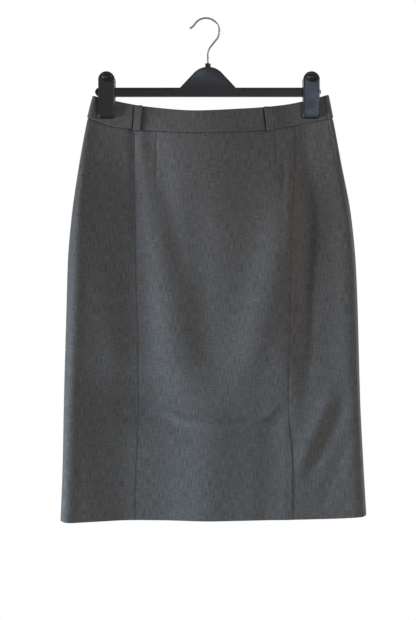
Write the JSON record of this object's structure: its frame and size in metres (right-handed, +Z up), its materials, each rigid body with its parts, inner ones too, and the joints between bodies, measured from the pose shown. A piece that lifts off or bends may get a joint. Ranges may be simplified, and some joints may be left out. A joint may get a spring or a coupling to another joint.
{
  "type": "pencil skirt on a clip hanger",
  "caption": "Knee-length fitted skirt with waistband, belt loops, two long front seams and hem slits, hung by its waistband from a bar hanger with spring clips and a wire hook.",
  "frame": {"origin": "inside the crown of the hanger's hook, where a rail carries it", "axes": "+Z up along the hook's shank, +X to the viewer's right, the skirt's front faces -Y"},
  "size_m": [0.4785, 0.0794, 0.7915],
  "materials": {
    "suiting": "fine woven grey melange suiting, matt with a faint sheen",
    "black_plastic": "injection moulded black polypropylene, satin",
    "zinc_wire": "bright zinc plated steel wire",
    "spring_steel": "rolled spring steel strip"
  },
  "bodies": {
    "root": {"front_waistband": "suiting", "back_waistband_left": "suiting", "back_waistband_right": "suiting", "centre_front_panel": "suiting", "side_front_panel_left": "suiting", "side_front_panel_right": "suiting", "back_panel_left": "suiting", "back_panel_right": "suiting", "kick_pleat_underlay_left": "suiting", "kick_pleat_underlay_right": "suiting", "belt_loop_front_left": "suiting", "belt_loop_front_right": "suiting", "belt_loop_back_left": "suiting", "belt_loop_back_right": "suiting", "hanger_bar": "black_plastic", "clip_jaw_front_left": "black_plastic", "clip_jaw_back_left": "black_plastic", "clip_jaw_front_right": "black_plastic", "clip_jaw_back_right": "black_plastic", "hanger_hook": "zinc_wire", "clip_spring_left": "spring_steel", "clip_spring_right": "spring_steel"}
  },
  "joints": []
}
